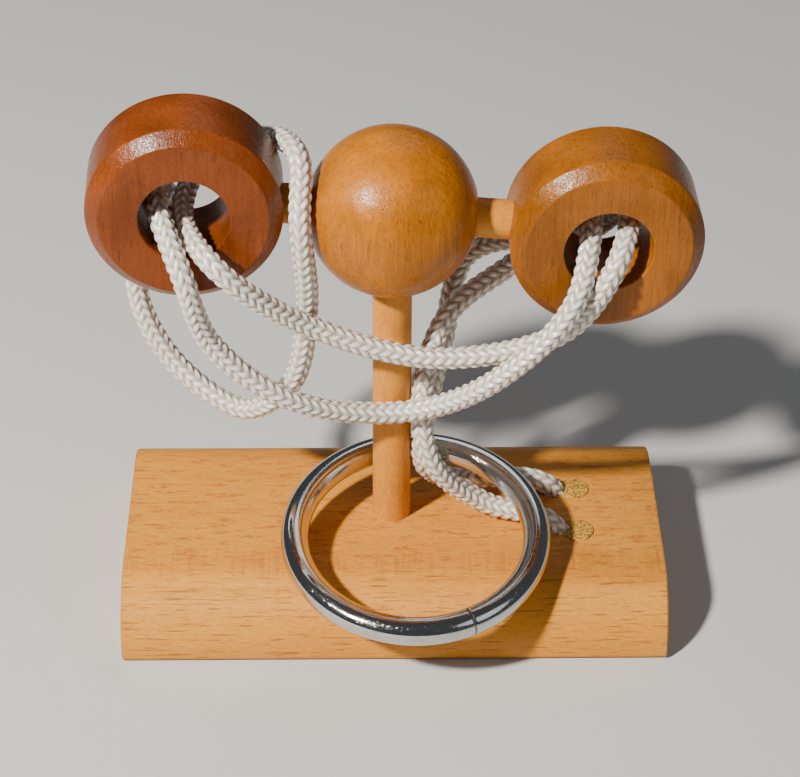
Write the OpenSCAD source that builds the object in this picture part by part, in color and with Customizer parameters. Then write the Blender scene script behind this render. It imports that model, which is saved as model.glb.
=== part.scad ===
// Ring and cord puzzle: a ball on a post carries two wooden rings on a crossbar, a cord
// is laced through both rings and pegged into the base, and a loose steel ring hangs on it.
// Millimetres, +Z up, origin in the middle of the base's underside, front towards -Y.

/* [Base] */
// Length of the base block, left to right
base_length = 113; // [98:1:140]
// Width of the base block, front to back
base_width = 63.5; // [50:0.5:90]
// Thickness of the base block
base_height = 15; // [14:0.5:24]
// Radius of the long top edges
base_round = 13.5; // [4:0.5:13.5]
// Radius that eases the long bottom edges
base_ease = 1.5; // [0.5:0.5:3]

/* [Post and ball] */
// Diameter of the post
post_d = 8; // [5:0.5:9]
// Where the post stands, left or right of the middle
post_x = -0.4; // [-3:0.1:3]
// Depth of the post's hole in the base
post_sink = 10; // [6:0.5:12]
// Height of the ball's centre above the bench
ball_z = 89.6; // [60:0.1:120]
// Diameter of the ball
ball_d = 34.4; // [28:0.2:36]
// Distance between the ball's two side flats, where the crossbar goes in
ball_flats = 32.4; // [26:0.2:34]
// How far the small flat on the ball's crown is cut down
crown_cut = 0.3; // [0:0.1:1]

/* [Crossbar] */
// Diameter of the two crossbar dowels
dowel_d = 8; // [5:0.5:10]
// How deep each dowel goes into the ball
dowel_in_ball = 10; // [6:0.5:12]
// How deep each dowel goes into its wooden ring
dowel_in_ring = 7; // [3:0.5:9]
// Slope of the crossbar, down to the right, in degrees
bar_slope = 6.3; // [0:0.1:8]
// Turn of the crossbar seen from above, in degrees
bar_turn = 2; // [-5:0.5:5]
// How far the wooden rings nod forward, in degrees
ring_nod = 2; // [-4:0.5:4]

/* [Wooden rings] */
// Outside diameter of a wooden ring
ring_d = 38.6; // [30:0.2:50]
// Diameter of the hole through a wooden ring
ring_hole_d = 17.8; // [14:0.2:24]
// Thickness of a wooden ring, front to back
ring_thick = 18.5; // [10:0.5:20]
// Chamfer on the outer edges of a wooden ring
ring_chamfer = 2.7; // [0.5:0.1:4]
// Bare crossbar between the ball and the left ring
left_bare = 4.5; // [3:0.1:20]
// Bare crossbar between the ball and the right ring
right_bare = 6; // [3:0.1:20]

/* [Steel ring] */
// Inside diameter of the loose steel ring
steel_ring_id = 44.4; // [38:0.2:60]
// Diameter of the steel ring's wire
steel_wire_d = 5.8; // [3:0.1:7]
// Lean of the steel ring as it lies, back edge up, in degrees
steel_lean = 11.5; // [0:0.5:20]
// Room between the steel ring and the back of the post
steel_post_gap = 1.2; // [0.5:0.1:10]
// Height of the steel ring's underside above the base, at its middle
steel_rise = 3.2; // [2.8:0.1:8]
// How far the steel ring lies to the right of the post
steel_side = 4.8; // [-8:0.1:8]

/* [Cord and pegs] */
// Diameter of the cord
cord_d = 4.6; // [3:0.1:4.7]
// Diameter of the peg holes and the pegs
peg_d = 7.0; // [6:0.2:10]
// Distance of the peg holes from the middle of the base
peg_x = 38.8; // [38:0.1:41]
// Distance of each peg hole from the base's long middle line
peg_y = 7.3; // [6.5:0.1:8]
// Depth of the peg holes
peg_deep = 8; // [6:0.5:10]
// How far the pegs stand out of the base
peg_proud = 0.3; // [0:0.1:1]

/* [Hidden] */
$fn = 96;
// wood left in the ball between the post's hole and the dowels' holes
wood_left = 2;
// the long top edges can't be rounder than the block is thick
edge_round = min(base_round, base_height - base_ease);
// crossbar positions, measured along the crossbar from the ball's centre
left_reach = ball_d / 2 + left_bare + ring_d / 2;
right_reach = ball_d / 2 + right_bare + ring_d / 2;
dowel_start = ball_flats / 2 - dowel_in_ball;
left_end = left_reach - ring_d / 2 + dowel_in_ring;
right_end = right_reach - ring_d / 2 + dowel_in_ring;
// the post stops under the dowels
post_top = ball_z - dowel_d / 2 - wood_left;
// steel ring centre: hooked behind the post, hanging out over the front edge
steel_r = (steel_ring_id + steel_wire_d) / 2;
steel_x = post_x + steel_side;
steel_y = post_d / 2 + steel_post_gap - steel_ring_id / 2 * cos(steel_lean);
steel_z = base_height + steel_rise + steel_wire_d / 2;
// the cord: sides of its section and rings to each stretch between two route points
cord_sides = 10;
cord_steps = 2;

// Route of the cord's middle, from the front peg hole to the back one.
cord_route = [
    // out of the front hole, under the steel ring and up inside it
    [37.5, -7.5, 11],
    [33, -6, 16.5],
    [20, -3, 19],
    [7, -6, 34.5],
    // past the right of the post and up to the right ring's back
    [6, -1, 48],
    [10.5, 6, 60],
    [25, 13.5, 69],
    [36.5, 14, 78],
    // through the right ring to the front and down across to the left
    [39, 1.5, 86.5],
    [35.5, -13, 76.5],
    [21, -14.5, 59.5],
    [2, -6.5, 45.5],
    [-23.5, -13, 54.5],
    [-36.5, -13.5, 67.5],
    [-41.5, -15, 84.5],
    // through the left ring to the back, down and round below it
    [-46.5, -4, 93.5],
    [-46, 12.5, 86],
    [-53, 11, 66],
    [-45.5, 7.5, 48.5],
    [-31.5, 2, 40.5],
    // up between the left ring and the ball, over the crossbar
    [-21, -4.5, 51.5],
    [-17.5, -6, 70.5],
    [-18.5, -8.5, 93.5],
    [-18.5, -1.5, 101.5],
    [-26, 13, 99],
    [-38.5, 12.5, 93.5],
    // through the left ring to the front and across to the right
    [-42, 2, 89.5],
    [-36, -14.5, 87],
    [-15, -10, 68],
    [10.5, -9, 60.5],
    [36, -10, 69.5],
    [44, -8.5, 83],
    // through the right ring to the back and behind the ball
    [47, 5.5, 87],
    [40, 16.5, 74.5],
    [15, 19.5, 66.5],
    [10.5, 9, 54],
    // down beside the post, under the steel ring, to the back hole
    [6.5, -0.5, 28],
    [11, 6, 19.5],
    [33, 6.5, 17],
    [37.5, 7.5, 11],
];

wood_pale = [0.80, 0.62, 0.42];
wood_orange = [0.63, 0.33, 0.10];
bamboo = [0.82, 0.68, 0.36];
steel = [0.78, 0.79, 0.81];
nylon = [0.93, 0.93, 0.94];

function unit(v) = v / norm(v);

// Direction of the route at point i: straight at the ends, a weighted mean between.
function heading(p, i) =
    i == 0 ? unit(p[1] - p[0]) :
    i == len(p) - 1 ? unit(p[i] - p[i - 1]) :
    let (before = norm(p[i] - p[i - 1]), after = norm(p[i + 1] - p[i]))
    (unit(p[i] - p[i - 1]) * after + unit(p[i + 1] - p[i]) * before) / (before + after);

// Point on the smooth curve from route point i to the next, at share u of the way.
function between(p, i, u) =
    let (reach = norm(p[i + 1] - p[i]))
    (2 * u * u * u - 3 * u * u + 1) * p[i]
    + (u * u * u - 2 * u * u + u) * reach * heading(p, i)
    + (3 * u * u - 2 * u * u * u) * p[i + 1]
    + (u * u * u - u * u) * reach * heading(p, i + 1);

// All centres along the curve.
function centres(p, steps) = concat(
    [for (i = [0:len(p) - 2], k = [0:steps - 1]) between(p, i, k / steps)],
    [p[len(p) - 1]]
);

// Directions at those centres.
function directions(c) = [
    for (i = [0:len(c) - 1])
        unit(c[min(i + 1, len(c) - 1)] - c[max(i - 1, 0)])
];

// A side vector carried along the curve without twisting.
function carried(dirs, i, side, out) =
    i == len(dirs) ? out :
    let (next = unit(side - dirs[i] * (side * dirs[i])))
    carried(dirs, i + 1, next, concat(out, [next]));

// Solid swept along the route, closed at both ends.
module swept(p, d, sides, steps) {
    c = centres(p, steps);
    dirs = directions(c);
    side = carried(dirs, 0, [0, 1, 0], []);
    rings = len(c);
    skin = [
        for (i = [0:rings - 1], k = [0:sides - 1])
            let (a = 360 * k / sides)
            c[i] + d / 2 * (cos(a) * side[i] + sin(a) * cross(dirs[i], side[i]))
    ];
    wall = [
        for (i = [0:rings - 2], k = [0:sides - 1], half = [0, 1])
            let (here = i * sides + k, beside = i * sides + (k + 1) % sides)
            half == 0 ? [here, here + sides, beside] : [beside, here + sides, beside + sides]
    ];
    near_end = [for (k = [1:sides - 2]) [0, k, k + 1]];
    last = (rings - 1) * sides;
    far_end = [for (k = [1:sides - 2]) [last, last + k + 1, last + k]];
    polyhedron(points = skin, faces = concat(wall, near_end, far_end), convexity = 10);
}

// Straight bore that a cord end lies in: from the route's end out past its next point.
module cord_bore(from, to) {
    away = to - from;
    reach = norm(away);
    translate(from)
        rotate([0, -acos(away[2] / reach), atan2(-away[1], -away[0])])
            cylinder(d = cord_d, h = 2 * reach);
}

// Puts its children on the leaning crossbar, with the ball's centre as origin.
module on_crossbar() {
    translate([post_x, 0, ball_z])
        rotate([ring_nod, bar_slope, bar_turn])
            children();
}

// Rod along X between two distances from the middle.
module rod(d, from, to) {
    translate([from, 0, 0])
        rotate([0, 90, 0])
            cylinder(d = d, h = to - from);
}

// Section of the base across its length.
module base_section() {
    flat = base_width - 2 * edge_round;
    shoulder = base_height - edge_round;
    translate([-flat / 2, 0])
        square([flat, base_height]);
    translate([base_ease - base_width / 2, 0])
        square([base_width - 2 * base_ease, shoulder]);
    if (shoulder > base_ease)
        translate([-base_width / 2, base_ease])
            square([base_width, shoulder - base_ease]);
    for (side = [-1, 1]) {
        translate([side * flat / 2, shoulder])
            intersection() {
                circle(r = edge_round);
                translate([side > 0 ? 0 : -edge_round, 0])
                    square(edge_round);
            }
        translate([side * (base_width / 2 - base_ease), base_ease])
            circle(r = base_ease);
    }
}

module peg_at(side) {
    translate([peg_x, side * peg_y, base_height - peg_deep])
        cylinder(d = peg_d, h = peg_deep + peg_proud);
}

module front_cord_bore() {
    cord_bore(cord_route[0], cord_route[1]);
}

module back_cord_bore() {
    cord_bore(cord_route[len(cord_route) - 1], cord_route[len(cord_route) - 2]);
}

module base() {
    color(wood_pale)
        difference() {
            rotate([90, 0, 90])
                translate([0, 0, -base_length / 2])
                    linear_extrude(height = base_length)
                        base_section();
            translate([post_x, 0, base_height - post_sink])
                cylinder(d = post_d, h = post_sink + 1);
            peg_at(-1);
            peg_at(1);
            front_cord_bore();
            back_cord_bore();
        }
}

module post() {
    foot = base_height - post_sink;
    color(wood_pale)
        translate([post_x, 0, foot])
            cylinder(d = post_d, h = post_top - foot);
}

module ball() {
    color(wood_orange)
        difference() {
            on_crossbar()
                intersection() {
                    sphere(d = ball_d);
                    translate([-ball_flats / 2, -ball_d / 2, -ball_d / 2])
                        cube([ball_flats, ball_d, ball_d - crown_cut]);
                }
            on_crossbar() {
                rod(dowel_d, dowel_start, ball_d);
                rod(dowel_d, -ball_d, -dowel_start);
            }
            translate([post_x, 0, ball_z - ball_d])
                cylinder(d = post_d, h = post_top - ball_z + ball_d);
        }
}

module left_dowel() {
    color(wood_pale)
        on_crossbar()
            rod(dowel_d, -left_end, -dowel_start);
}

module right_dowel() {
    color(wood_pale)
        on_crossbar()
            rod(dowel_d, dowel_start, right_end);
}

// Ring with its hole front to back, its centre at the given distance along the crossbar.
module wooden_ring(reach, socket_from, socket_to) {
    inner = ring_hole_d / 2;
    outer = ring_d / 2;
    half = ring_thick / 2;
    color(wood_orange)
        on_crossbar()
            difference() {
                translate([reach, 0, 0])
                    rotate([90, 0, 0])
                        rotate_extrude()
                            polygon([
                                [inner, -half],
                                [outer - ring_chamfer, -half],
                                [outer, ring_chamfer - half],
                                [outer, half - ring_chamfer],
                                [outer - ring_chamfer, half],
                                [inner, half],
                            ]);
                rod(dowel_d, socket_from, socket_to);
            }
}

module left_wooden_ring() {
    wooden_ring(-left_reach, -left_end, -dowel_start);
}

module right_wooden_ring() {
    wooden_ring(right_reach, dowel_start, right_end);
}

module metal_ring() {
    color(steel)
        translate([steel_x, steel_y, steel_z])
            rotate([steel_lean, 0, 0])
                rotate_extrude()
                    translate([steel_r, 0])
                        circle(d = steel_wire_d);
}

module cord() {
    color(nylon)
        swept(cord_route, cord_d, cord_sides, cord_steps);
}

module front_peg() {
    color(bamboo)
        difference() {
            peg_at(-1);
            front_cord_bore();
        }
}

module back_peg() {
    color(bamboo)
        difference() {
            peg_at(1);
            back_cord_bore();
        }
}

base();
post();
ball();
left_dowel();
right_dowel();
left_wooden_ring();
right_wooden_ring();
metal_ring();
cord();
front_peg();
back_peg();
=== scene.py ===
"""Ring and cord puzzle: the finish of every piece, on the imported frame, in metres."""

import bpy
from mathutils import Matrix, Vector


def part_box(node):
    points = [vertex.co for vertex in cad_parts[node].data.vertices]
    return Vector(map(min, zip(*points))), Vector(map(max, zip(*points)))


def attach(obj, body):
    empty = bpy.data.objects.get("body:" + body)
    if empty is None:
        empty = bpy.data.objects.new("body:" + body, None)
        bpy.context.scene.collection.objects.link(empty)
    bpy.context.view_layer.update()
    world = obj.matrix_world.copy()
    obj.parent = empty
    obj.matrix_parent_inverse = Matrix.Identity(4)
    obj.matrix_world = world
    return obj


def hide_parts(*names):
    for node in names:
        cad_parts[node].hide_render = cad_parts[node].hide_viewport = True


bl_info = {
    "name": "Ring and Cord Puzzle",
    "version": (1, 0, 0),
    "blender": (4, 5, 0),
    "location": "View3D > Sidebar > Puzzle",
    "description": "Makes the wooden stand, the braided cord and the steel ring of a puzzle",
    "category": "Object",
}

import math

import bmesh
import bpy
from mathutils import Matrix, Vector

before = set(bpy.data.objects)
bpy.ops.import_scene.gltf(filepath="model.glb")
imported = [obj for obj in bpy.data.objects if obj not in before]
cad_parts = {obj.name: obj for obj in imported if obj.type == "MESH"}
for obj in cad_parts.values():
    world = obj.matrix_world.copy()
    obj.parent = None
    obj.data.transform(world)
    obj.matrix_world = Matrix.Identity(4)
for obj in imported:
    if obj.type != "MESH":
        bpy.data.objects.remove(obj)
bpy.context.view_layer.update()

MM = 0.001
STAND = "stand"
LOOSE = "loose_ring"


# ---------------------------------------------------------------- sizes and places

# the base's long top edges, its long bottom edges and the bevel round its ends
BASE_ROUND = 0.01349
BASE_EASE = 0.0015
BASE_ARRIS = 0.0003

# the base's wood, in millimetres from its middle: where the top turns down to the long
# edges, the band of chatter marks and how it fades, and where the end grain starts
TOP_TURNS = (17, 23)
CHATTER_FRONT = 17.5
CHATTER_FADE = (1.5, 6)
END_FACES = (56.1, 56.4)

# the head: ball, crossbar and wooden rings lean as one glued piece
BALL_CENTRE = Vector((-0.4, 0, 89.6)) * MM
BALL_RADIUS = 0.0172
BALL_SIDE = 0.0162
BALL_CROWN = 0.0169
HEAD_LEAN = (
    Matrix.Rotation(math.radians(2), 3, "Z")
    @ Matrix.Rotation(math.radians(6.3), 3, "Y")
    @ Matrix.Rotation(math.radians(2), 3, "X")
)
LEFT_REACH = 41 * MM
RIGHT_REACH = 42.5 * MM

# the dowels, where the crossbar's start from the ball's centre and how deep they go into
# the wooden rings
DOWEL_RADIUS = 0.004
DOWEL_EASE = 0.0003
DOWEL_START = 0.0062
DOWEL_SOCKET = 0.007

# the wooden rings
RING_INNER = 0.0089
RING_OUTER = 0.0193
RING_HALF = 0.00925
RING_CHAMFER = 0.0027

# the pegs, their holes and the bores that the cord's ends run in
FRONT_PEG = Vector((38.8, -7.3, 15)) * MM
BACK_PEG = Vector((38.8, 7.3, 15)) * MM
PEG_RADIUS = 3.5 * MM
PEG_DEPTH = 0.008
PEG_PROUD = 0.0003
PEG_EASE = 0.0002
PEG_HOLE_RADIUS = PEG_RADIUS + 0.00006
HOLE_MOUTH = 0.001
CORD_HOLE_RADIUS = 0.00236
CORD_BORE_RADIUS = 0.0023
CORD_BORE_DEPTH = 0.012

# how far the steel ring's back edge is raised
STEEL_LEAN = math.radians(11.5)

# how finely curves are stepped: sides round an axis, and steps along a section or line
ROUND_SIDES = 64
BALL_SIDES = 128
BALL_STEPS = 72
RING_SIDES = 160
STEEL_STEPS = 720
WIRE_SIDES = 48
BASE_STEPS = 24

# angles above which an edge stays sharp
SHARP = math.radians(40)
SHARP_CUT = math.radians(32)
SHARP_BALL = math.radians(60)

# the route of the cord's middle, as in the part's source
ROUTE = [
    (0.0375, -0.0075, 0.011), (0.033, -0.006, 0.0165), (0.020, -0.003, 0.019),
    (0.007, -0.006, 0.0345), (0.006, -0.001, 0.048), (0.0105, 0.006, 0.060),
    (0.025, 0.0135, 0.069), (0.0365, 0.014, 0.078), (0.039, 0.0015, 0.0865),
    (0.0355, -0.013, 0.0765), (0.021, -0.0145, 0.0595), (0.002, -0.0065, 0.0455),
    (-0.0235, -0.013, 0.0545), (-0.0365, -0.0135, 0.0675), (-0.0415, -0.015, 0.0845),
    (-0.0465, -0.004, 0.0935), (-0.046, 0.0125, 0.086), (-0.053, 0.011, 0.066),
    (-0.0455, 0.0075, 0.0485), (-0.0315, 0.002, 0.0405), (-0.021, -0.0045, 0.0515),
    (-0.0175, -0.006, 0.0705), (-0.0185, -0.0085, 0.0935), (-0.0185, -0.0015, 0.1015),
    (-0.026, 0.013, 0.099), (-0.0385, 0.0125, 0.0935), (-0.042, 0.002, 0.0895),
    (-0.036, -0.0145, 0.087), (-0.015, -0.010, 0.068), (0.0105, -0.009, 0.0605),
    (0.036, -0.010, 0.0695), (0.044, -0.0085, 0.083), (0.047, 0.0055, 0.087),
    (0.040, 0.0165, 0.0745), (0.015, 0.0195, 0.0665), (0.0105, 0.009, 0.054),
    (0.0065, -0.0005, 0.028), (0.011, 0.006, 0.0195), (0.033, 0.0065, 0.017),
    (0.0375, 0.0075, 0.011),
]
ROUTE_STEPS = 12

# the braid: points along a stitch, points across a column, and the height that stays put
STITCH_STEPS = 6
COLUMN_POINTS = 5
STITCH_TOP = 0.88

# the joint in the steel wire: its depth, and its width as shares of the way round
JOINT_PINCH = 0.00015
JOINT_WIDTH = (0.0007, 0.0018)

# the camera, and the lights: name, its power's property, size, distance from the
# middle, degrees round from the front, degrees up and colour
CAMERA_LENS = 116.65
CAMERA_PLACE = Vector((-5.9, -439.36, 354.49)) * MM
CAMERA_RIGHT = Vector((0.9999, -0.0133, 0.0043)).normalized()
CAMERA_UP = Vector((0.0041, 0.5736, 0.8191)).normalized()
LIGHTS = (
    ("Key", "key_power", 0.07, 0.9, -47, 43, (1.0, 0.955, 0.89)),
    ("Fill", "fill_power", 0.6, 1.0, 50, 35, (0.90, 0.95, 1.0)),
    ("Back", "fill_power", 0.5, 1.0, 165, 50, (0.95, 0.97, 1.0)),
)
LIGHT_AIM = Vector((0, 0, 0.05))
SKY = (0.80, 0.85, 0.92, 1)
FLOOR_HALF = 3.0


class PUZZLE_PG_cord(bpy.types.PropertyGroup):
    """The braided cord."""

    diameter: bpy.props.FloatProperty(
        name="Diameter", description="Thickness of the cord over its stitches",
        default=0.0046, min=0.003, max=0.0048, unit="LENGTH", precision=4)
    pitch: bpy.props.FloatProperty(
        name="Stitch pitch", description="Distance from one stitch to the next",
        default=0.0022, min=0.001, max=0.004, unit="LENGTH", precision=4)
    columns: bpy.props.IntProperty(
        name="Columns", description="Columns of stitches round the cord, an even number",
        default=8, min=4, max=16)
    relief: bpy.props.FloatProperty(
        name="Relief", description="How deep the grooves between the stitches are",
        default=0.0006, min=0.0, max=0.001, unit="LENGTH", precision=5)
    slant: bpy.props.FloatProperty(
        name="Slant", description="How far a stitch slants across its column, in stitches",
        default=0.36, min=0.0, max=1.0)
    twist: bpy.props.FloatProperty(
        name="Twist", description="Turns that the cord has taken over its whole length",
        default=1.6, min=-6, max=6)
    colour: bpy.props.FloatVectorProperty(
        name="Colour", description="Colour of the nylon",
        default=(0.66, 0.60, 0.51), size=3, min=0, max=1, subtype="COLOR")


class PUZZLE_PG_wood(bpy.types.PropertyGroup):
    """The plain beech pieces and the stained pieces."""

    beech_light: bpy.props.FloatVectorProperty(
        name="Beech, light", description="Colour of the pale grain",
        default=(0.79, 0.345, 0.040), size=3, min=0, max=1, subtype="COLOR")
    beech_dark: bpy.props.FloatVectorProperty(
        name="Beech, dark", description="Colour of the darker grain",
        default=(0.66, 0.250, 0.024), size=3, min=0, max=1, subtype="COLOR")
    beech_fleck: bpy.props.FloatVectorProperty(
        name="Beech, flecks", description="Colour of the short dashes in the beech",
        default=(0.50, 0.155, 0.018), size=3, min=0, max=1, subtype="COLOR")
    ball_stain: bpy.props.FloatVectorProperty(
        name="Ball stain", description="Colour of the stained ball",
        default=(0.42, 0.130, 0.003), size=3, min=0, max=1, subtype="COLOR")
    left_stain: bpy.props.FloatVectorProperty(
        name="Left ring stain", description="Colour of the left wooden ring",
        default=(0.190, 0.037, 0.001), size=3, min=0, max=1, subtype="COLOR")
    right_stain: bpy.props.FloatVectorProperty(
        name="Right ring stain", description="Colour of the right wooden ring",
        default=(0.27, 0.080, 0.002), size=3, min=0, max=1, subtype="COLOR")
    edge_round: bpy.props.FloatProperty(
        name="Edge rounding", description="Radius that the sanded edges are rounded to",
        default=0.0007, min=0.0001, max=0.0015, unit="LENGTH", precision=4)


class PUZZLE_PG_metal(bpy.types.PropertyGroup):
    """The loose steel ring."""

    wire: bpy.props.FloatProperty(
        name="Wire", description="Diameter of the ring's wire",
        default=0.0058, min=0.003, max=0.007, unit="LENGTH", precision=4)
    inside: bpy.props.FloatProperty(
        name="Inside", description="Inside diameter of the ring",
        default=0.0444, min=0.03, max=0.06, unit="LENGTH", precision=4)
    joint_at: bpy.props.FloatProperty(
        name="Joint", description="Where the ends of the wire meet, from the right",
        default=math.radians(-65), subtype="ANGLE")
    colour: bpy.props.FloatVectorProperty(
        name="Colour", description="Colour of the plating",
        default=(0.63, 0.625, 0.615), size=3, min=0, max=1, subtype="COLOR")


class PUZZLE_PG_stage(bpy.types.PropertyGroup):
    """Floor, lights and camera."""

    floor_colour: bpy.props.FloatVectorProperty(
        name="Floor", description="Colour of the plain floor",
        default=(0.62, 0.61, 0.59), size=3, min=0, max=1, subtype="COLOR")
    key_power: bpy.props.FloatProperty(
        name="Key light", description="Power of the light at the front left",
        default=17, min=0, max=500, unit="POWER")
    fill_power: bpy.props.FloatProperty(
        name="Fill light", description="Power of the light at the front right",
        default=0.8, min=0, max=500, unit="POWER")
    sky: bpy.props.FloatProperty(
        name="Surroundings", description="Brightness of the surroundings",
        default=0.085, min=0, max=3)


# ---------------------------------------------------------------- node trees

class Value:
    """A node's output that is used in sums as a number would be."""

    def __init__(self, nodes, socket):
        self.nodes = nodes
        self.socket = socket

    def _sum(self, operation, a, b=None):
        inputs = {0: a} if b is None else {0: a, 1: b}
        return self.nodes.add("ShaderNodeMath", inputs, operation=operation)

    def __add__(self, other):
        return self._sum("ADD", self, other)

    def __radd__(self, other):
        return self._sum("ADD", other, self)

    def __sub__(self, other):
        return self._sum("SUBTRACT", self, other)

    def __rsub__(self, other):
        return self._sum("SUBTRACT", other, self)

    def __mul__(self, other):
        return self._sum("MULTIPLY", self, other)

    def __truediv__(self, other):
        return self._sum("DIVIDE", self, other)

    def size(self):
        return self._sum("ABSOLUTE", self)

    def root(self):
        return self._sum("SQRT", self)

    def floor(self):
        return self._sum("FLOOR", self)

    def part(self):
        return self._sum("FRACT", self)

    def ramp(self, low, high):
        """0 up to low, 1 from high on, and smooth between them."""
        return self.nodes.add(
            "ShaderNodeMapRange",
            {"Value": self, "From Min": low, "From Max": high},
            interpolation_type="SMOOTHSTEP")


class Nodes:
    """Adds nodes to one tree."""

    def __init__(self, tree):
        self.tree = tree

    def add(self, kind, inputs=None, out=0, **settings):
        """A new node, its inputs and settings set, as the value of one output."""
        node = self.tree.nodes.new(kind)
        for name, setting in settings.items():
            setattr(node, name, setting)
        for name, value in (inputs or {}).items():
            self.feed(node.inputs[name], value)
        return Value(self, node.outputs[out])

    def feed(self, socket, value):
        """Links a value to the socket, or sets a constant on it."""
        if isinstance(value, Value):
            self.tree.links.new(value.socket, socket)
        elif socket.type == "RGBA" and len(value) == 3:
            socket.default_value = (*value, 1)
        else:
            socket.default_value = value

    def mix(self, factor, a, b):
        """Colour a where the factor is 0 and colour b where it is 1."""
        return self.add(
            "ShaderNodeMix", {0: factor, 6: a, 7: b}, out=2, data_type="RGBA")

    def scale(self, vector, by):
        """The vector, each axis multiplied by its own number."""
        return self.add(
            "ShaderNodeVectorMath", {0: vector, 1: by}, operation="MULTIPLY")

    def noise(self, vector, by, detail=2, rough=0.5, warp=0):
        """Noise with that many waves to a unit along each axis."""
        return self.add(
            "ShaderNodeTexNoise",
            {"Vector": self.scale(vector, by), "Scale": 1, "Detail": detail,
             "Roughness": rough, "Distortion": warp})


class Finish(Nodes):
    """A material with one Principled shader, measured in millimetres of the object."""

    def __init__(self, name, grain="X"):
        """The grain runs along X or Z of the object."""
        self.material = bpy.data.materials.new(name)
        self.material.use_nodes = True
        super().__init__(self.material.node_tree)
        self.tree.nodes.clear()
        self.shader = self.tree.nodes.new("ShaderNodeBsdfPrincipled")
        output = self.tree.nodes.new("ShaderNodeOutputMaterial")
        self.tree.links.new(self.shader.outputs[0], output.inputs[0])
        coordinates = self.add("ShaderNodeTexCoord", out="Object")
        turn = {"X": (0, 0, 0), "Z": (0, math.pi / 2, 0)}[grain]
        self.place = self.add(
            "ShaderNodeMapping",
            {"Vector": coordinates, "Scale": (1 / MM,) * 3, "Rotation": turn})
        self.across = self.add("ShaderNodeSeparateXYZ", {0: self.place}).socket.node

    def attribute(self, name):
        """A number that the mesh carries, read by the shader."""
        return self.add(
            "ShaderNodeAttribute", out="Fac", attribute_name=name, attribute_type="GEOMETRY")

    def axis(self, letter):
        """One coordinate of the place, along the grain for X."""
        return Value(self, self.across.outputs[letter])

    def set(self, **values):
        """Feeds the shader's sockets, named with _ for a space."""
        for name, value in values.items():
            self.feed(self.shader.inputs[name.replace("_", " ")], value)

    def bump(self, height, depth):
        """Relief of that depth in millimetres."""
        self.set(Normal=self.add(
            "ShaderNodeBump", {"Height": height, "Strength": 1.0, "Distance": depth * MM}))


# ---------------------------------------------------------------- finishes

def beech(name, wood, grain, block=False):
    """Unfinished beech: soft streaks, short flecks, fine pores, and end grain on the ends."""
    finish = Finish(name, grain)
    spot = finish.place
    broad = finish.noise(spot, (0.012, 0.11, 0.11), detail=3, warp=0.3).ramp(0.3, 0.7)
    fine = finish.noise(spot, (0.05, 1.6, 1.6), detail=3).ramp(0.25, 0.75)
    slant = finish.add(
        "ShaderNodeMapping", {"Vector": spot, "Rotation": (0, 0, math.radians(28))})
    curl = finish.noise(slant, (0.28, 1.5, 1.5), detail=2, rough=0.6).ramp(0.35, 0.65)
    colour = finish.mix(
        broad * 0.45 + fine * 0.3 + curl * 0.35, wood.beech_light, wood.beech_dark)
    dashes = finish.noise(spot, (0.15, 0.80, 0.80), detail=1, rough=0.4).ramp(0.50, 0.66)
    broken = finish.noise(spot, (0.6, 1.4, 1.4), detail=1).ramp(0.36, 0.6)
    short = finish.noise(spot, (0.42, 2.1, 2.1), detail=1, rough=0.5).ramp(0.54, 0.70)
    speckle = finish.noise(spot, (1.2, 2.6, 2.6), detail=2, rough=0.7).ramp(0.40, 0.68)
    flecks = dashes * broken + short * 0.45
    thin = finish.noise(spot, (0.15, 3.2, 3.2), detail=1, rough=0.4).ramp(0.63, 0.70)
    pores = finish.noise(spot, (0.9, 7.0, 7.0), detail=1).ramp(0.62, 0.74)
    if block:
        # long flecks on the flat top, fine lines on the slopes, and a band of chatter marks
        across = finish.axis("Y")
        slope = across.size().ramp(*TOP_TURNS)
        flecks = flecks * (1 - slope * 0.75)
        thin = thin * (slope * 0.9 + 0.1)
        band = 1 - (across + CHATTER_FRONT).size().ramp(*CHATTER_FADE)
        bars = finish.noise(spot, (0.42, 0.05, 0.05), detail=2, rough=0.7).ramp(0.5, 0.7)
        ticks = finish.noise(spot, (1.7, 0.05, 0.05), detail=0).ramp(0.55, 0.65)
        colour = finish.mix(
            band * (bars * 0.55 + ticks * 0.25), colour, wood.beech_fleck)
    else:
        flecks = flecks * 0.35
        thin = thin * 0.25
        speckle = speckle * 1.8
    colour = finish.mix(flecks * 0.85, colour, wood.beech_fleck)
    colour = finish.mix(speckle * 0.22, colour, wood.beech_fleck)
    brown = [shade * 0.55 for shade in wood.beech_fleck]
    colour = finish.mix(thin * 0.75, colour, brown)
    colour = finish.mix(pores * 0.16, colour, brown)
    if block:
        # end grain on the two ends
        ends = finish.axis("X").size().ramp(*END_FACES)
        rings = finish.noise(spot, (0.0, 0.12, 0.45), detail=3, warp=0.6).ramp(0.35, 0.65)
        holes = finish.noise(spot, (0.0, 4.5, 4.5), detail=1).ramp(0.52, 0.62)
        cut = finish.mix(rings * 0.5 + holes * 0.35, wood.beech_dark, brown)
        colour = finish.mix(ends * 0.75, colour, cut)
    finish.set(
        Base_Color=colour,
        Roughness=0.46 + fine * 0.10 + flecks * 0.06, Specular_IOR_Level=0.32)
    relief = fine * 0.5 - pores * 1.2 - thin * 0.8 - flecks * 0.2
    finish.bump(relief, 0.035)
    return finish.material


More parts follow.
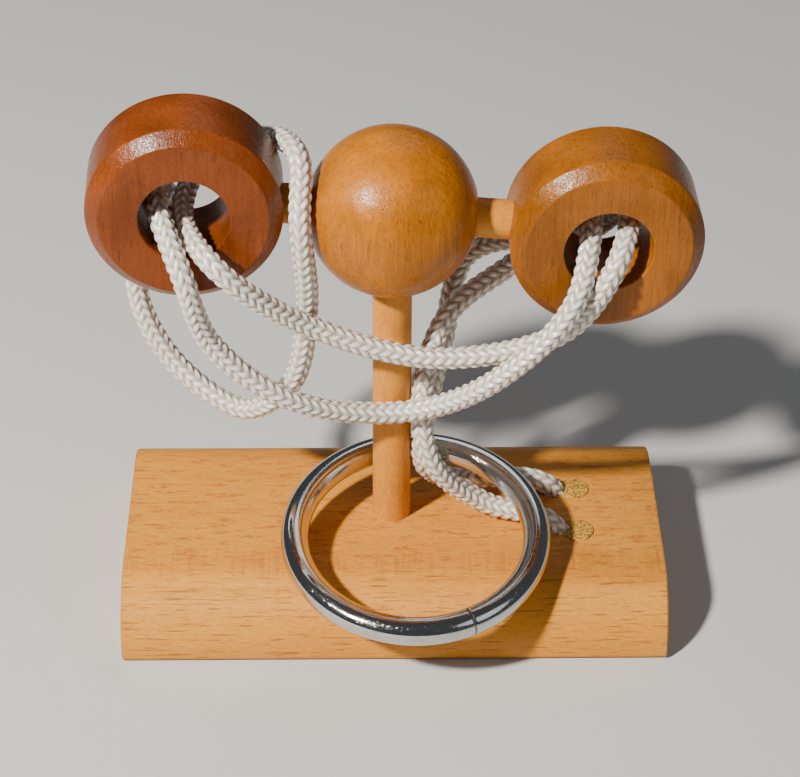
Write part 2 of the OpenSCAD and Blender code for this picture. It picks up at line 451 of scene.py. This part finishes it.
def stained(name, tint, seed):
    """Stained, satin-lacquered wood: blotches, fine lines and an orange-peel surface."""
    finish = Finish(name, "Z")
    spot = finish.add(
        "ShaderNodeVectorMath", {0: finish.place, 1: (seed, seed * 2.0, 0)},
        operation="ADD")
    blotch = finish.noise(spot, (0.06, 0.11, 0.11), detail=3).ramp(0.32, 0.68)
    lines = finish.noise(spot, (0.05, 1.3, 1.3), detail=3, warp=0.2).ramp(0.3, 0.72)
    speck = finish.noise(spot, (1.1, 4.5, 4.5), detail=2).ramp(0.45, 0.75)
    dashes = finish.noise(spot, (0.25, 1.5, 1.5), detail=1).ramp(0.64, 0.72)
    deep = [shade * 0.50 for shade in tint]
    pale = [min(1, shade * 1.42 + 0.008) for shade in tint]
    colour = finish.mix(blotch * 0.75 + lines * 0.25, pale, tint)
    wide = finish.noise(spot, (0.035, 0.05, 0.05), detail=2).ramp(0.42, 0.66)
    colour = finish.mix(
        wide * 0.42 + lines * 0.20 + speck * 0.30 + dashes * 0.30, colour, deep)
    peel = finish.noise(finish.place, (0.6, 0.6, 0.6), detail=1)
    beads = finish.noise(finish.place, (2.6, 2.6, 2.6), detail=1)
    finish.set(
        Base_Color=colour,
        Roughness=0.24 + speck * 0.16, Specular_IOR_Level=0.27)
    relief = peel * 0.9 + beads * 0.45 + lines * 0.16 - speck * 0.20 - dashes * 0.3
    finish.bump(relief, 0.10)
    return finish.material


def bamboo(name):
    """Cut end of a bamboo peg: dark dots in yellow straw."""
    finish = Finish(name)
    spot = finish.scale(finish.place, (1.7, 1.7, 0.15))
    near = finish.add(
        "ShaderNodeTexVoronoi", {"Vector": spot, "Scale": 1, "Randomness": 0.8},
        out="Distance", feature="F1")
    dots = 1 - near.ramp(0.24, 0.46)
    mottle = finish.noise(finish.place, (0.7, 0.7, 0.2), detail=3).ramp(0.3, 0.7)
    straw = finish.mix(mottle, (0.66, 0.36, 0.050), (0.46, 0.23, 0.022))
    finish.set(
        Base_Color=finish.mix(dots * 0.9, straw, (0.07, 0.035, 0.006)),
        Roughness=0.62 + mottle * 0.1)
    finish.bump(mottle * 0.6 - dots, 0.08)
    return finish.material


def nylon(name, colour):
    """Braided nylon, with a painted highlight on the stitches and painted shade in the grooves.
    """
    finish = Finish(name)
    lift = finish.attribute("stitch_height")
    threads = finish.noise(finish.place, (7, 7, 7), detail=2, rough=0.6)
    clean = finish.noise(finish.place, (0.09, 0.09, 0.09), detail=2).ramp(0.35, 0.7)
    # painted shade: the grooves between the stitches are coloured dark, following the stitch
    # height
    painted_groove_shade = [shade * 0.22 for shade in colour]
    dusty = [colour[0] * 0.92, colour[1] * 0.87, colour[2] * 0.78]
    body = finish.mix(clean * 0.8, colour, dusty)
    shade = finish.mix(lift.ramp(0.02, 0.40), painted_groove_shade, body)
    # painted highlight: the tops of the stitches are coloured near white, broken up by the
    # threads
    painted_highlight = lift.ramp(0.50, 0.85) * (threads.ramp(0.35, 0.6) * 0.4 + 0.6)
    shade = finish.mix(painted_highlight, shade, (0.97, 0.955, 0.92))
    finish.set(
        Base_Color=shade,
        Roughness=0.40 - lift * 0.12 + threads * 0.10,
        Specular_IOR_Level=0.8,
        Coat_Weight=lift.ramp(0.35, 0.8), Coat_Roughness=0.2, Coat_IOR=1.7,
        Subsurface_Weight=0.10, Subsurface_Scale=0.001,
        Subsurface_Radius=(1.0, 0.9, 0.8))
    finish.bump(threads, 0.05)
    return finish.material


def plated_steel(name, colour):
    """Bright plating with faint haze and fine wear."""
    finish = Finish(name)
    haze = finish.noise(finish.place, (0.16, 0.16, 0.16), detail=4, rough=0.6).ramp(0.35, 0.75)
    wear = finish.noise(finish.place, (2.4, 2.4, 2.4), detail=4, rough=0.7).ramp(0.56, 0.72)
    joint = finish.attribute("joint_line")
    dull = [shade * 0.62 for shade in colour]
    metal = finish.mix(haze * 0.45 + wear * 0.30, colour, dull)
    finish.set(
        Base_Color=finish.mix(joint, metal, (0.09, 0.08, 0.07)),
        Metallic=1.0,
        Roughness=0.07 + haze * 0.09 + wear * 0.16 + joint * 0.3)
    finish.bump(wear * -0.4 + haze * 0.3, 0.02)
    return finish.material


def plain(name, colour):
    """Soft matt finish for the floor."""
    finish = Finish(name)
    grain = finish.noise(finish.place, (0.8, 0.8, 0.8), detail=3)
    darker = [shade * 0.97 for shade in colour]
    finish.set(Base_Color=finish.mix(grain, colour, darker), Roughness=0.75)
    return finish.material


# ---------------------------------------------------------------- shapes

def rounded(corners, radius, steps=5, closed=True):
    """The corners of a section, each turned into an arc; (x, y) or (x, y, own radius)."""
    points = []
    count = len(corners)
    for i, corner in enumerate(corners):
        here = Vector(corner[:2])
        own = corner[2] if len(corner) > 2 else radius
        if own == 0 or not closed and i in (0, count - 1):
            points.append(tuple(here))
            continue
        back = (Vector(corners[i - 1][:2]) - here).normalized()
        ahead = (Vector(corners[(i + 1) % count][:2]) - here).normalized()
        half = back.angle(ahead) / 2
        reach = own / math.tan(half)
        middle = here + (back + ahead).normalized() * own / math.sin(half)
        start = here + back * reach - middle
        sweep = start.angle_signed(here + ahead * reach - middle)
        for k in range(steps + 1):
            turn = Matrix.Rotation(-sweep * k / steps, 2)
            points.append(tuple(middle + turn @ start))
    return points


def smooth(mesh, sharp):
    """Shades the mesh smooth but for edges above that angle."""
    mesh.shade_smooth()
    mesh.set_sharp_from_angle(angle=sharp)


def shown(name, data):
    """A new object in the scene."""
    thing = bpy.data.objects.new(name, data)
    bpy.context.scene.collection.objects.link(thing)
    return thing


def made(name, points, faces, material, sharp=SHARP):
    """A piece from its points and faces, smooth but for its sharp edges."""
    mesh = bpy.data.meshes.new(name)
    mesh.from_pydata([tuple(p) for p in points], [], faces)
    mesh.materials.append(material)
    mesh.validate()
    piece = shown(name, mesh)
    smooth(mesh, sharp)
    return piece


def closed_piece(name, points, faces, material, sharp=SHARP):
    """A made piece whose faces are turned outwards."""
    piece = made(name, points, faces, material, sharp)
    outwards(piece.data)
    return piece


def turned(section, sides, place, whole=False):
    """Points and faces of a section (radius, height) turned round Z, then placed.
    A whole section closes on itself; any other one starts and ends on the axis."""
    rows = section if whole else section[1:-1]
    points = []
    for radius, height in rows:
        for k in range(sides):
            angle = math.tau * k / sides
            points.append(Vector((radius * math.cos(angle), radius * math.sin(angle), height)))
    faces = []
    for i in range(len(rows) if whole else len(rows) - 1):
        j = (i + 1) % len(rows)
        for k in range(sides):
            m = (k + 1) % sides
            faces.append((i * sides + k, i * sides + m, j * sides + m, j * sides + k))
    if not whole:
        first = len(points)
        points += [Vector((0, 0, section[0][1])), Vector((0, 0, section[-1][1]))]
        last = (len(rows) - 1) * sides
        for k in range(sides):
            m = (k + 1) % sides
            faces.append((first, m, k))
            faces.append((first + 1, last + k, last + m))
    return [place @ point for point in points], faces


def with_modifiers(piece):
    """The piece's mesh with its modifiers in it, as a new plain mesh."""
    result = piece.evaluated_get(bpy.context.evaluated_depsgraph_get())
    return bpy.data.meshes.new_from_object(result)


def outwards(mesh):
    """Turns the faces of a closed mesh outwards."""
    work = bmesh.new()
    work.from_mesh(mesh)
    bmesh.ops.recalc_face_normals(work, faces=work.faces)
    work.to_mesh(mesh)
    work.free()


def cylinder(radius, low, high):
    """Section of a plain cylinder, between two heights."""
    return [(0, low), (radius, low), (radius, high), (0, high)]


def cut_out(piece, name, section, place):
    """Cuts a turned shape out of the piece."""
    points, faces = turned(section, ROUND_SIDES, place)
    tool = closed_piece(name, points, faces, piece.data.materials[0])
    cut = piece.modifiers.new("cut", "BOOLEAN")
    cut.operation = "DIFFERENCE"
    cut.solver = "EXACT"
    cut.object = tool
    old = piece.data
    mesh = with_modifiers(piece)
    piece.modifiers.clear()
    piece.data = mesh
    mesh.name = piece.name
    bpy.data.meshes.remove(old)
    bpy.data.objects.remove(tool)


def stand_in(piece, body, slot, *nodes):
    """The finished piece takes the place of its plain solids."""
    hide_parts(*nodes)
    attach(piece, body)


def on_head(x, turn):
    """Place on the leaning crossbar, at x along it from the ball's centre."""
    lean = HEAD_LEAN.to_4x4()
    return Matrix.Translation(BALL_CENTRE) @ lean @ Matrix.Translation((x, 0, 0)) @ turn


def at_cord_end(end):
    """Place at the cord's first end (0) or last end (-1), with Z along the cord."""
    start = Vector(ROUTE[end])
    inward = Vector(ROUTE[1 if end == 0 else end - 1])
    way = (inward - start).normalized()
    return Matrix.Translation(start) @ way.to_track_quat("Z", "X").to_matrix().to_4x4()


ALONG_X = Matrix.Rotation(math.pi / 2, 4, "Y")
ALONG_Y = Matrix.Rotation(math.pi / 2, 4, "X")


def smooth_route(points, steps):
    """Points on the smooth curve through the route, steps to each stretch."""
    points = [Vector(p) for p in points]
    reach = [(b - a).length for a, b in zip(points, points[1:])]
    ways = [(b - a).normalized() for a, b in zip(points, points[1:])]
    heading = [ways[0]]
    for i in range(1, len(points) - 1):
        before, after = reach[i - 1], reach[i]
        heading.append((ways[i - 1] * after + ways[i] * before) / (before + after))
    heading.append(ways[-1])
    line = []
    for i, length in enumerate(reach):
        for k in range(steps):
            u = k / steps
            line.append(
                (2 * u ** 3 - 3 * u ** 2 + 1) * points[i]
                + (u ** 3 - 2 * u ** 2 + u) * length * heading[i]
                + (3 * u ** 2 - 2 * u ** 3) * points[i + 1]
                + (u ** 3 - u ** 2) * length * heading[i + 1])
    return line + [points[-1]]


# ---------------------------------------------------------------- geometry trees

def tree_with(name, sizes):
    """A geometry tree with those named number inputs, its nodes and its two ends."""
    tree = bpy.data.node_groups.new(name, "GeometryNodeTree")
    tree.interface.new_socket("Geometry", in_out="INPUT", socket_type="NodeSocketGeometry")
    for size in sizes:
        tree.interface.new_socket(size, in_out="INPUT", socket_type="NodeSocketFloat")
    tree.interface.new_socket("Finish", in_out="INPUT", socket_type="NodeSocketMaterial")
    tree.interface.new_socket("Geometry", in_out="OUTPUT", socket_type="NodeSocketGeometry")
    start = tree.nodes.new("NodeGroupInput")
    end = tree.nodes.new("NodeGroupOutput")
    nodes = Nodes(tree)
    given = {socket.name: Value(nodes, socket) for socket in start.outputs if socket.name}
    return tree, nodes, given, end


def grow(piece, tree, **inputs):
    """Runs the tree on the piece with its inputs set, and keeps the result as plain mesh."""
    step = piece.modifiers.new(tree.name, "NODES")
    step.node_group = tree
    sockets = {
        item.name: item.identifier for item in tree.interface.items_tree
        if item.in_out == "INPUT"}
    for name, value in inputs.items():
        step[sockets[name.replace("_", " ").capitalize()]] = value
    mesh = with_modifiers(piece)
    name = piece.name
    mesh.name = name
    source = piece.data
    bpy.data.objects.remove(piece)
    bpy.data.curves.remove(source)
    return shown(name, mesh)


def line_object(name, points, cyclic=False):
    """A curve of one poly line."""
    curve = bpy.data.curves.new(name, "CURVE")
    curve.dimensions = "3D"
    curve.twist_mode = "MINIMUM"
    line = curve.splines.new("POLY")
    line.points.add(len(points) - 1)
    for spot, point in zip(line.points, points):
        spot.co = (*point, 1)
    line.use_cyclic_u = cyclic
    return shown(name, curve)


def stored(nodes, geometry, name, value):
    """The geometry with the number kept on its points under that name."""
    return nodes.add(
        "GeometryNodeStoreNamedAttribute",
        {"Geometry": geometry, "Name": name, "Value": value},
        data_type="FLOAT", domain="POINT")


def kept(nodes, name):
    """The number kept under that name."""
    return nodes.add(
        "GeometryNodeInputNamedAttribute", {"Name": name}, data_type="FLOAT")


def pushed(nodes, skin, distance):
    """The skin moved along its normals by that distance."""
    normal = nodes.add("GeometryNodeInputNormal")
    offset = nodes.add(
        "ShaderNodeVectorMath", {0: normal, "Scale": distance}, operation="SCALE")
    return nodes.add("GeometryNodeSetPosition", {"Geometry": skin, "Offset": offset})


def close_tree(nodes, skin, finish, end):
    """Ends the tree: smooth shading, real geometry and the finish."""
    skin = nodes.add("GeometryNodeSetShadeSmooth", {"Geometry": skin})
    skin = nodes.add("GeometryNodeRealizeInstances", {"Geometry": skin})
    skin = nodes.add("GeometryNodeSetMaterial", {"Geometry": skin, "Material": finish})
    nodes.feed(end.inputs[0], skin)


def braid_tree():
    """Braided cord along a line: columns of plump stitches that slant left and right in turn."""
    sizes = ("Diameter", "Pitch", "Columns", "Relief", "Slant", "Twist", "Length")
    tree, nodes, given, end = tree_with("Braided cord", sizes)
    count = given["Length"] / given["Pitch"] * STITCH_STEPS
    line = nodes.add("GeometryNodeResampleCurve", {"Curve": given["Geometry"], "Count": count})
    spline = nodes.add("GeometryNodeSplineParameter", out="Length")
    share = nodes.add("GeometryNodeSplineParameter", out="Factor")
    line = stored(nodes, line, "along", spline)
    line = nodes.add(
        "GeometryNodeSetCurveTilt", {"Curve": line, "Tilt": share * given["Twist"] * math.tau})
    circle = nodes.add(
        "GeometryNodeCurvePrimitiveCircle",
        {"Resolution": given["Columns"] * COLUMN_POINTS, "Radius": given["Diameter"] / 2})
    circle = stored(nodes, circle, "around", share)
    skin = nodes.add(
        "GeometryNodeCurveToMesh",
        {"Curve": line, "Profile Curve": circle, "Fill Caps": True})
    along = kept(nodes, "along")
    around = kept(nodes, "around")
    # across and stitch run from -1 to 1 over one stitch; side is -1 and 1 in turn
    column = around * given["Columns"] + 0.1
    across = column.part() * 2 - 1
    side = ((column / 2).part() * 2).floor() * 2 - 1
    stitch = (
        along / given["Pitch"] + across * side * given["Slant"] + side * 0.12).part() * 2 - 1
    plump = (1 - stitch * stitch).root()
    bulge = (1 - across * across * 0.97).root()
    height = plump * (bulge * 0.65 + 0.35)
    height = height * height
    skin = pushed(nodes, skin, (height - STITCH_TOP) * given["Relief"])
    skin = stored(nodes, skin, "stitch_height", height)
    close_tree(nodes, skin, given["Finish"], end)
    return tree


def ring_tree():
    """Round wire along a circle, pinched where its two ends meet."""
    tree, nodes, given, end = tree_with("Wire ring", ("Wire", "Joint"))
    share = nodes.add("GeometryNodeSplineParameter", out="Factor")
    away = (share - given["Joint"]).size()
    joint = 1 - away.ramp(*JOINT_WIDTH)
    line = stored(nodes, given["Geometry"], "joint_line", joint)
    line = nodes.add("GeometryNodeSetCurveRadius", {"Curve": line, "Radius": 1.0})
    circle = nodes.add(
        "GeometryNodeCurvePrimitiveCircle",
        {"Resolution": WIRE_SIDES, "Radius": given["Wire"] / 2})
    skin = nodes.add(
        "GeometryNodeCurveToMesh", {"Curve": line, "Profile Curve": circle})
    skin = pushed(nodes, skin, kept(nodes, "joint_line") * -JOINT_PINCH)
    close_tree(nodes, skin, given["Finish"], end)
    return tree


# ---------------------------------------------------------------- operators

class PUZZLE_OT_stage(bpy.types.Operator):
    """Make the camera, the lights and the plain floor"""

    bl_idname = "puzzle.stage"
    bl_label = "Stage"

    def execute(self, context):
        look = context.scene.puzzle_stage
        camera = bpy.data.cameras.new("Camera")
        camera.sensor_width = 36
        camera.lens = CAMERA_LENS
        camera.clip_start = 0.01
        eye = shown("Camera", camera)
        turn = Matrix((CAMERA_RIGHT, CAMERA_UP, CAMERA_RIGHT.cross(CAMERA_UP))).transposed()
        eye.matrix_world = Matrix.Translation(CAMERA_PLACE) @ turn.to_4x4()
        context.scene.camera = eye

        for name, power, *way in LIGHTS:
            self.light(name, getattr(look, power), *way)

        world = bpy.data.worlds.new("Surroundings")
        context.scene.world = world
        world.use_nodes = True
        room = world.node_tree.nodes["Background"]
        room.inputs["Color"].default_value = SKY
        room.inputs["Strength"].default_value = look.sky

        corners = [(-1, -1, 0), (1, -1, 0), (1, 1, 0), (-1, 1, 0)]
        floor = made(
            "floor", [Vector(corner) * FLOOR_HALF for corner in corners], [(0, 1, 2, 3)],
            plain("floor_finish", look.floor_colour))
        return {"FINISHED"}

    def light(self, name, power, size, reach, turn, height, colour):
        """Round lamp aimed at the object's middle, that far off, turned and raised."""
        lamp = bpy.data.lights.new(name, "AREA")
        lamp.shape = "DISK"
        lamp.energy = power
        lamp.size = size
        lamp.color = colour
        turn, height = math.radians(turn), math.radians(height)
        way = Vector((
            math.sin(turn) * math.cos(height),
            -math.cos(turn) * math.cos(height),
            math.sin(height)))
        thing = shown(name, lamp)
        thing.location = LIGHT_AIM + way * reach
        thing.rotation_euler = way.to_track_quat("Z", "Y").to_euler()


class PUZZLE_OT_cord(bpy.types.Operator):
    """Braid the cord along its route"""

    bl_idname = "puzzle.cord"
    bl_label = "Braided cord"

    def execute(self, context):
        look = context.scene.puzzle_cord
        line = smooth_route(ROUTE, ROUTE_STEPS)
        length = sum((b - a).length for a, b in zip(line, line[1:]))
        cord = grow(
            line_object("braided_cord", line), braid_tree(),
            diameter=look.diameter, pitch=look.pitch, columns=float(look.columns),
            relief=look.relief, slant=look.slant, twist=look.twist, length=length,
            finish=nylon("cord_finish", look.colour))
        stand_in(cord, STAND, "white_cord", "cord")
        return {"FINISHED"}


class PUZZLE_OT_base(bpy.types.Operator):
    """Make the beech base with its holes"""

    bl_idname = "puzzle.base"
    bl_label = "Base"

    def execute(self, context):
        wood = context.scene.puzzle_wood
        low, high = (Vector(corner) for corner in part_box("base"))
        half = (high.y - low.y) / 2
        top = high.z
        section = rounded(
            [(half, 0, BASE_EASE), (half, top, BASE_ROUND), (-half, top, BASE_ROUND),
             (-half, 0, BASE_EASE)], 0, steps=BASE_STEPS)
        rows = [(low.x, BASE_ARRIS), (low.x + BASE_ARRIS, 0),
                (high.x - BASE_ARRIS, 0), (high.x, BASE_ARRIS)]
        middle = Vector((0, top / 2))
        points = []
        for x, inset in rows:
            for y, z in section:
                spot = Vector((y, z))
                inward = (middle - spot).normalized() * inset
                points.append((x, y + inward.x, z + inward.y))
        count = len(section)
        faces = [
            (i * count + k, i * count + (k + 1) % count,
             (i + 1) * count + (k + 1) % count, (i + 1) * count + k)
            for i in range(len(rows) - 1) for k in range(count)]
        faces.append(tuple(range(count)))
        faces.append(tuple(reversed(range((len(rows) - 1) * count, len(rows) * count))))
        block = closed_piece(
            "base_block", points, faces, beech("base_beech", wood, "X", block=True))
        hole = cylinder(PEG_HOLE_RADIUS, -PEG_DEPTH, HOLE_MOUTH)
        bore = cylinder(CORD_HOLE_RADIUS, 0, CORD_BORE_DEPTH)
        cut_out(block, "front_hole", hole, Matrix.Translation(FRONT_PEG))
        cut_out(block, "back_hole", hole, Matrix.Translation(BACK_PEG))
        cut_out(block, "front_cord_hole", bore, at_cord_end(0))
        cut_out(block, "back_cord_hole", bore, at_cord_end(-1))
        smooth(block.data, SHARP_CUT)
        stand_in(block, STAND, "pale_wood", "base")
        return {"FINISHED"}


class PUZZLE_OT_dowels(bpy.types.Operator):
    """Make the post and the two crossbar dowels"""

    bl_idname = "puzzle.dowels"
    bl_label = "Post and dowels"

    def execute(self, context):
        wood = context.scene.puzzle_wood
        low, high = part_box("post")
        self.dowel(
            "post_dowel", "post", high[2] - low[2],
            Matrix.Translation((BALL_CENTRE.x, 0, low[2])), beech("post_beech", wood, "Z"))
        crossbar = beech("crossbar_beech", wood, "X")
        for name, node, reach, way in (
                ("left_bar", "left_dowel", LEFT_REACH, -1),
                ("right_bar", "right_dowel", RIGHT_REACH, 1)):
            end = reach - RING_OUTER + DOWEL_SOCKET
            place = on_head(DOWEL_START if way > 0 else -end, ALONG_X)
            self.dowel(name, node, end - DOWEL_START, place, crossbar)
        return {"FINISHED"}

    def dowel(self, name, node, length, place, material):
        """One dowel with eased ends, its lower or left end at the place."""
        section = rounded(cylinder(DOWEL_RADIUS, 0, length), DOWEL_EASE, closed=False)
        points, faces = turned(section, ROUND_SIDES, place)
        piece = closed_piece(name, points, faces, material)
        stand_in(piece, STAND, "pale_wood", node)


class PUZZLE_OT_stained(bpy.types.Operator):
    """Make the stained ball and the two stained rings"""

    bl_idname = "puzzle.stained"
    bl_label = "Ball and wooden rings"

    def execute(self, context):
        wood = context.scene.puzzle_wood
        self.ball(wood.ball_stain)
        for name, node, x, tint, seed in (
                ("left_ring", "left_wooden_ring", -LEFT_REACH, wood.left_stain, 3),
                ("right_ring", "right_wooden_ring", RIGHT_REACH, wood.right_stain, 11)):
            self.ring(name, node, x, stained(name + "_stain", tint, seed), wood.edge_round)
        return {"FINISHED"}

    def ball(self, tint):
        """The ball, with its side flats and the small flat on its crown."""
        edge = math.acos(BALL_SIDE / BALL_RADIUS)
        arc = []
        for k in range(BALL_STEPS + 1):
            angle = edge + (math.pi - 2 * edge) * k / BALL_STEPS
            arc.append((BALL_RADIUS * math.sin(angle), -BALL_RADIUS * math.cos(angle)))
        rim = arc[0][0]
        inner = [(0, BALL_SIDE), (rim * 0.5, BALL_SIDE), (rim * 0.93, BALL_SIDE)]
        section = [(r, -x) for r, x in inner] + arc + inner[::-1]
        points, faces = turned(section, BALL_SIDES, on_head(0, ALONG_X))
        up = HEAD_LEAN @ Vector((0, 0, 1))
        for point in points:
            over = (point - BALL_CENTRE).dot(up) - BALL_CROWN
            if over > 0:
                point -= up * over
        piece = closed_piece(
            "stained_ball", points, faces, stained("ball_stain", tint, 7), SHARP_BALL)
        stand_in(piece, STAND, "orange_wood", "ball")

    def ring(self, name, node, x, material, soft):
        """One wooden ring, chamfered outside and softened at its edges."""
        chamfer = RING_OUTER - RING_CHAMFER
        section = rounded(
            [(RING_INNER, -RING_HALF, soft * 0.5), (chamfer, -RING_HALF),
             (RING_OUTER, RING_CHAMFER - RING_HALF), (RING_OUTER, RING_HALF - RING_CHAMFER),
             (chamfer, RING_HALF), (RING_INNER, RING_HALF, soft * 0.5)],
            soft)
        points, faces = turned(section, RING_SIDES, on_head(x, ALONG_Y), whole=True)
        piece = closed_piece(name, points, faces, material)
        stand_in(piece, STAND, "orange_wood", node)


class PUZZLE_OT_steel_ring(bpy.types.Operator):
    """Make the loose steel ring with the joint in its wire"""

    bl_idname = "puzzle.steel_ring"
    bl_label = "Steel ring"

    def execute(self, context):
        look = context.scene.puzzle_metal
        low, high = (Vector(corner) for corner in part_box("metal_ring"))
        middle = (low + high) / 2
        radius = (look.inside + look.wire) / 2
        line = []
        for k in range(STEEL_STEPS):
            angle = math.tau * k / STEEL_STEPS
            line.append(middle + Vector((
                radius * math.cos(angle),
                radius * math.sin(angle) * math.cos(STEEL_LEAN),
                radius * math.sin(angle) * math.sin(STEEL_LEAN))))
        piece = grow(
            line_object("steel_ring", line, cyclic=True), ring_tree(),
            wire=look.wire, joint=(look.joint_at / math.tau) % 1,
            finish=plated_steel("ring_plating", look.colour))
        outwards(piece.data)
        stand_in(piece, LOOSE, "ring_steel", "metal_ring")
        return {"FINISHED"}


class PUZZLE_OT_pegs(bpy.types.Operator):
    """Make the two bamboo pegs, each hollowed where the cord passes"""

    bl_idname = "puzzle.pegs"
    bl_label = "Pegs"

    def execute(self, context):
        straw = bamboo("peg_bamboo")
        section = rounded(
            cylinder(PEG_RADIUS, -PEG_DEPTH, PEG_PROUD), PEG_EASE, steps=3, closed=False)
        bore = cylinder(CORD_BORE_RADIUS, 0, CORD_BORE_DEPTH)
        for name, node, place, end in (
                ("front_pin", "front_peg", FRONT_PEG, 0),
                ("back_pin", "back_peg", BACK_PEG, -1)):
            points, faces = turned(section, ROUND_SIDES, Matrix.Translation(place))
            piece = closed_piece(name, points, faces, straw)
            cut_out(piece, name + "_bore", bore, at_cord_end(end))
            smooth(piece.data, SHARP_CUT)
            stand_in(piece, STAND, "bamboo", node)
        return {"FINISHED"}


class PUZZLE_PT_panel(bpy.types.Panel):
    """The puzzle's pieces and their sizes"""

    bl_idname = "PUZZLE_PT_panel"
    bl_label = "Ring and Cord Puzzle"
    bl_space_type = "VIEW_3D"
    bl_region_type = "UI"
    bl_category = "Puzzle"

    def draw(self, context):
        layout = self.layout
        for title, name, steps in PARTS:
            box = layout.box()
            box.label(text=title)
            group = getattr(context.scene, name)
            for key in group.__annotations__:
                box.prop(group, key)
            for step in steps:
                box.operator(step.bl_idname)


PARTS = (
    ("Stage", "puzzle_stage", (PUZZLE_OT_stage,)),
    ("Cord", "puzzle_cord", (PUZZLE_OT_cord,)),
    ("Wood", "puzzle_wood",
     (PUZZLE_OT_base, PUZZLE_OT_dowels, PUZZLE_OT_stained, PUZZLE_OT_pegs)),
    ("Steel", "puzzle_metal", (PUZZLE_OT_steel_ring,)),
)
GROUPS = {
    "puzzle_stage": PUZZLE_PG_stage,
    "puzzle_cord": PUZZLE_PG_cord,
    "puzzle_wood": PUZZLE_PG_wood,
    "puzzle_metal": PUZZLE_PG_metal,
}
CLASSES = (
    *GROUPS.values(),
    *(step for _, _, steps in PARTS for step in steps),
    PUZZLE_PT_panel,
)


def register():
    for cls in CLASSES:
        bpy.utils.register_class(cls)
    for name, group in GROUPS.items():
        setattr(bpy.types.Scene, name, bpy.props.PointerProperty(type=group))


def unregister():
    for name in GROUPS:
        delattr(bpy.types.Scene, name)
    for cls in reversed(CLASSES):
        bpy.utils.unregister_class(cls)


def main():
    register()
    bpy.ops.puzzle.stage()
    bpy.ops.puzzle.cord()
    bpy.ops.puzzle.base()
    bpy.ops.puzzle.dowels()
    bpy.ops.puzzle.stained()
    bpy.ops.puzzle.pegs()
    bpy.ops.puzzle.steel_ring()


if __name__ == "__main__":
    main()
